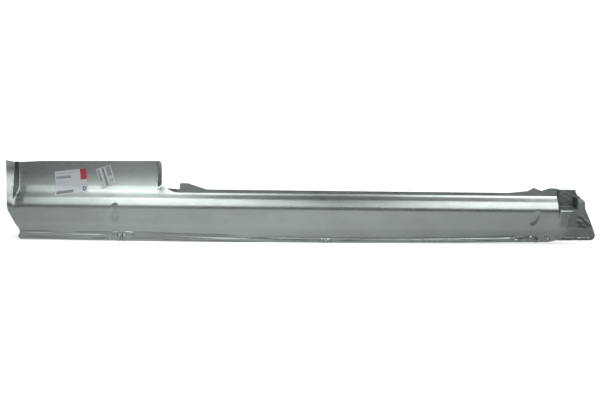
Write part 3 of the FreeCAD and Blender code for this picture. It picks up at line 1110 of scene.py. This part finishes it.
LARGE_PRINT = (
    Patch(0.80, 1.0, 0.53, 1.0, PRINT_RED),
    Patch(0.03, 0.50, 0.66, 0.77, PRINT_DARK, 0.55),
    Patch(0.03, 0.74, 0.87, 0.91, PRINT_GRAY, 0.6),
    Patch(0.03, 0.40, 0.47, 0.50, PRINT_GRAY, 0.5),
    Patch(0.03, 0.56, 0.04, 0.15, PRINT_DARK, 0.75),
)
LARGE_RING = (0.90, 0.14, 0.06, 0.032)
SMALL_PRINT = (
    Patch(0.06, 0.20, 0.35, 0.96, PRINT_DARK, 0.6),
    Patch(0.36, 0.50, 0.08, 0.96, PRINT_DARK, 0.7),
    Patch(0.62, 0.93, 0.48, 0.96, PRINT_DARK, 0.55),
    Patch(0.66, 0.90, 0.20, 0.34, PRINT_GRAY, 0.6),
)


@dataclass(frozen=True)
class PaperFinish:
    """White label stock with plain printed fields, and a ring given by its centre, radius and
    half width."""

    name: str
    patches: tuple[Patch, ...]
    ring: tuple[float, ...] | None = None
    aspect: float = 1.0
    color: Color = (0.295, 0.314, 0.325, 1.0)
    shade_color: Color = (0.25, 0.268, 0.278, 1.0)
    fibre: NoiseLayer = NoiseLayer(900.0, 3.0, 0.6)
    shade: NoiseLayer = NoiseLayer(40.0, 3.0, 0.6)
    shade_range: Pair = (0.3, 0.8)
    shade_share: float = 0.25
    ring_share: float = 0.85
    roughness: float = 0.65
    fibre_roughness: float = 0.1
    bump_strength: float = 0.2
    bump_distance: float = 0.0002
    shade_height: float = 2.0

    def material(self) -> bpy.types.Material:
        """Makes the material: each field is the product of four steps in the label's map.

        Returns:
            The node material.
        """
        material, graph = new_material(self.name)
        uv = graph.node("UVMap", {"uv_map": "Print"}).out(0)
        split = graph.node("SeparateXYZ", {}, {0: uv})
        u, v = split.out(0), split.out(1)
        place = graph.node("TexCoord").out("Object")
        fibre = graph.noise(place, self.fibre)
        shade = graph.noise(place, self.shade)
        color = graph.mix(shade.ramp(*self.shade_range) * self.shade_share, self.color,
                          self.shade_color)
        for patch in self.patches:
            inside = (u > patch.left) * (u < patch.right) * (v > patch.low) * (v < patch.high)
            color = graph.mix(inside * patch.strength, color, patch.color)
        if self.ring:
            centre_u, centre_v, radius, width = self.ring
            du = (u - centre_u) * self.aspect
            dv = v - centre_v
            distance = graph.node("Math", {"operation": "SQRT"},
                                  {0: du * du + dv * dv}).out(0)
            band = abs(distance - radius) < width
            color = graph.mix(band * self.ring_share, color, RING_DARK)
        bump = graph.node("Bump", {}, {
            "Strength": self.bump_strength, "Distance": self.bump_distance,
            "Height": fibre + shade * self.shade_height}).out(0)
        shader = graph.node("BsdfPrincipled", {}, {
            "Base Color": color, "Roughness": fibre * self.fibre_roughness + self.roughness,
            "Normal": bump})
        graph.node("OutputMaterial", {}, {0: shader.out(0)})
        return material


class LampPlace(Enum):
    """Where each softbox hangs, seen from the camera."""

    LEFT = "left"
    MIDDLE = "middle"
    RIGHT = "right"
    REAR = "rear"
    REAR_RIGHT = "rear_right"
    OVERHEAD = "overhead"
    FRONT = "front"
    SIDE = "side"


@dataclass(frozen=True)
class Softbox:
    """Large area lamp."""

    place: LampPlace
    location: Triple
    aim_x: float
    width: float
    height: float
    radiance: float
    color: Triple = (1.0, 1.0, 1.0)

    def build(self) -> bpy.types.Object:
        """Hangs the lamp, aimed over the panel; its power is pi times its area times its
        radiance.

        Returns:
            The lamp object.
        """
        data = bpy.data.lights.new("softbox_" + self.place.value, "AREA")
        data.shape = "RECTANGLE"
        data.size = self.width
        data.size_y = self.height
        data.energy = math.pi * self.width * self.height * self.radiance
        data.color = self.color
        lamp = bpy.data.objects.new(data.name, data)
        lamp.location = self.location
        aim = Vector((self.aim_x, 0.0, AIM_HEIGHT)) - Vector(self.location)
        lamp.rotation_euler = aim.to_track_quat("-Z", "Y").to_euler()
        lamp.visible_camera = False
        bpy.context.scene.collection.objects.link(lamp)
        return lamp


@dataclass
class Studio:
    """White floor, soft lamps, plain world and the camera."""

    fit: FrameFit
    distance: float = 4.0
    elevation: float = 10.0
    roll: float = 0.58
    mm_per_pixel: float = 2.85
    image_width: int = 600
    look_at: Triple = (0.0, 0.0, 31.8)
    world_gray: float = 0.21
    floor_reach: float = 60.0
    floor_drop: float = 0.0004
    floor_gray: float = 0.5
    glow_range: Pair = (1.0, 2.4)
    glow_least: float = 0.56
    glow_gain: float = 0.45
    sensor_width: float = 36.0
    clip_end: float = 200.0
    softboxes: tuple[Softbox, ...] = (
        Softbox(LampPlace.LEFT, (-0.62, -0.765, 1.948), -0.62, 1.0, 3.07, 4.2,
                (0.97, 1.0, 1.0)),
        Softbox(LampPlace.OVERHEAD, (-0.735, 0.58, 2.02), -0.735, 0.6, 0.75, 3.7),
        Softbox(LampPlace.MIDDLE, (0.12, -1.3, 1.75), 0.12, 0.6, 1.6, 0.3),
        Softbox(LampPlace.RIGHT, (1.08, -0.72, 1.97), 1.08, 1.1, 3.24, 6.2),
        Softbox(LampPlace.REAR, (-0.95, 1.7, 1.8), -0.75, 0.9, 1.0, 2.0),
        Softbox(LampPlace.REAR_RIGHT, (1.16, 0.845, 1.91), 1.16, 0.12, 1.46, 4.5),
        Softbox(LampPlace.FRONT, (-0.83, -2.55, 0.72), -0.83, 0.5, 1.2, 0.8),
        Softbox(LampPlace.SIDE, (1.95, -1.2, 1.5), -0.83, 0.7, 1.2, 4.0),
    )

    def build(self) -> None:
        """Sets up everything that isn't part of the object."""
        self._floor()
        self._world()
        for softbox in self.softboxes:
            softbox.build()
        self._camera()
        bpy.context.scene.view_settings.view_transform = "Standard"

    def _floor(self) -> None:
        """Large pale floor: white to the camera and to gloss, with the object's shadow."""
        size = self.floor_reach
        corners = np.array([[-size, -size, 0], [size, -size, 0], [size, size, 0],
                            [-size, size, 0]]) + np.array([0.0, 0.0, -self.floor_drop])
        floor = mesh_object("studio_floor", corners, np.array([[0, 1, 2, 3]]))
        material, graph = new_material("studio_floor")
        rays = graph.node("LightPath")
        place = graph.node("TexCoord").out("Object")
        distance = graph.node("VectorMath", {"operation": "LENGTH"},
                              {0: place}).out("Value")
        glow = distance.ramp(*self.glow_range) * self.glow_gain + self.glow_least
        seen_directly = graph.node("Math", {"operation": "MAXIMUM"}, {
            0: rays.out("Is Camera Ray") + rays.out("Is Glossy Ray"),
            1: rays.out("Is Transmission Ray")}).out(0)
        gray = self.floor_gray
        diffuse = graph.node("BsdfDiffuse", {}, {0: (gray, gray, gray, 1.0)})
        seen = graph.node("Emission", {}, {0: (1.0, 1.0, 1.0, 1.0), 1: glow})
        seen_total = graph.node("AddShader", {}, {0: diffuse.out(0), 1: seen.out(0)})
        shader = graph.node("MixShader", {}, {
            0: seen_directly, 1: diffuse.out(0), 2: seen_total.out(0)})
        graph.node("OutputMaterial", {}, {0: shader.out(0)})
        floor.data.materials.append(material)

    def _world(self) -> None:
        """Plain grey surroundings."""
        world = bpy.data.worlds.new("studio_world")
        world.use_nodes = True
        graph = Graph(world.node_tree)
        gray = self.world_gray
        light = graph.node("Background", {}, {0: (gray, gray, gray, 1.0), 1: 1.0})
        graph.node("OutputWorld", {}, {0: light.out(0)})
        bpy.context.scene.world = world

    def _camera(self) -> None:
        """Camera in front and a little above; the frame spans its pixels times their size."""
        data = bpy.data.cameras.new("camera")
        span = self.image_width * self.mm_per_pixel * MM
        data.sensor_width = self.sensor_width
        data.lens = data.sensor_width * self.distance / span
        data.clip_end = self.clip_end
        camera = bpy.data.objects.new("camera", data)
        target = Vector(self.fit.to_frame(np.array(self.look_at)))
        lift = math.radians(self.elevation)
        away = Vector((0.0, -math.cos(lift), math.sin(lift)))
        camera.location = target + away * self.distance
        facing = (-away).to_track_quat("-Z", "Y").to_matrix()
        turn = Matrix.Rotation(math.radians(self.roll), 3, "Z")
        camera.rotation_euler = (facing @ turn).to_euler()
        bpy.context.scene.collection.objects.link(camera)
        bpy.context.scene.camera = camera


def tool_and_handling_marks() -> list[Mark]:
    """Everything that the press tool and the handling left in the clean form.

    Returns:
        Oval marks at the two jacking places, drain channels, crumples, dents and lines.
    """
    jacking = ((-529, -11, 14, 31, 3.2, 0, 0.35, True), (672, -13, 12, 28, 2.4, -27, 0.55))
    channels = ((-518, -70), (-504, -70), (72, -84, 4.5, 4), (678, -80, 4.5, 4))
    crumples = (
        (-511, -74, 44, 13, -1.8, 0, 0.4), (-543, -78, 9, 8, 1.8), (-478, -76, 8, 7, 1.4, 20),
        (72, -86, 17, 9, -2, 0, 0.5), (58, -86, 6, 5, 1.7), (87, -87, 7, 5, 1.6),
        (640, -76, 46, 11, -2.2, 4, 0.5), (622, -76, 16, 5, 2.4, 8), (607, -70, 12, 4, 1.6),
        (652, -82, 9, 5, 2.6), (663, -74, 7, 9, -3.4, 10), (679, -76, 6, 10, 5, -20),
        (705, -66, 9, 6, -4.5, 10), (712, -79, 6, 7, -4), (695, -84, 7, 6, 2.4),
    )
    end_dents = (
        (806, -10, 16, 6, 1.4, -22), (820, -24, 19, 6.5, 1.7, -42), (800, -24, 13, 6, 1.4, -20),
        (812, -46, 20, 8, -1.2, -18, 0.5), (826, -52, 8, 5, 1.6, -30), (792, -66, 9, 5, -1.4),
        (802, -74, 8, 4, -1.4), (830, -74, 7, 4, -1.2), (752, -60, 12, 5, -0.9),
    )
    end_folds = ((771, -2, 766, -46, 3.5, 1), (766, -46, 755, -76, 3.5, 1),
                 (728, -68, 838, -70, 2.6, 1.2), (515, -79, 600, -77, 3, -1.3))
    low_dents = ((772, -84, 10, 6, -2.2), (748, -84, 9, 5, -1.8, 12), (806, -82, 8, 5, -1.8),
                 (786, -78, 6, 5, 1.8))
    flange_lines = ((-812, -73, -548, -79, 2.8, -1), (-806, -81, -548, -86.5, 2.8, 1),
                    (-468, -83, 60, -88.5, 2.8, -1), (90, -88.5, 590, -83, 2.8, -1))
    groups = ((Dent, jacking), (DrainChannel, channels), (Dent, crumples), (Dent, end_dents),
              (Crease, end_folds), (Dent, low_dents), (Crease, flange_lines))
    return [kind(*row) for kind, rows in groups for row in rows]


def dress(piece: bpy.types.Object, material: bpy.types.Material) -> None:
    """Gives a piece its only material."""
    piece.data.materials.clear()
    piece.data.materials.append(material)


def main() -> None:
    """Builds the panel, its labels and the studio, and reports each piece."""
    logging.basicConfig(level=logging.INFO, format="%(name)s: %(message)s")
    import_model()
    sizes = SillSizes()
    low, _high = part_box(PANEL_NODE)
    fit = FrameFit.from_box(sizes, low)
    sheet = PressedSheet(sizes, tool_and_handling_marks())
    panel = RockerPanel(sizes, sheet, fit).build()
    dress(panel, ZincSheetFinish().material())
    large = PaperLabel("large_label", LARGE_LABEL_NODE, -661.0, 69.0, 91.0, 64.0, 6.5)
    small = PaperLabel("small_label", SMALL_LABEL_NODE, -561.0, 83.0, 43.0, 58.0, 19.0)
    dress(large.build(sheet, fit), PaperFinish(
        "large_label_paper", LARGE_PRINT, LARGE_RING, large.width / large.length).material())
    dress(small.build(sheet, fit), PaperFinish("small_label_paper", SMALL_PRINT).material())
    Studio(fit).build()


if __name__ == "__main__":
    main()
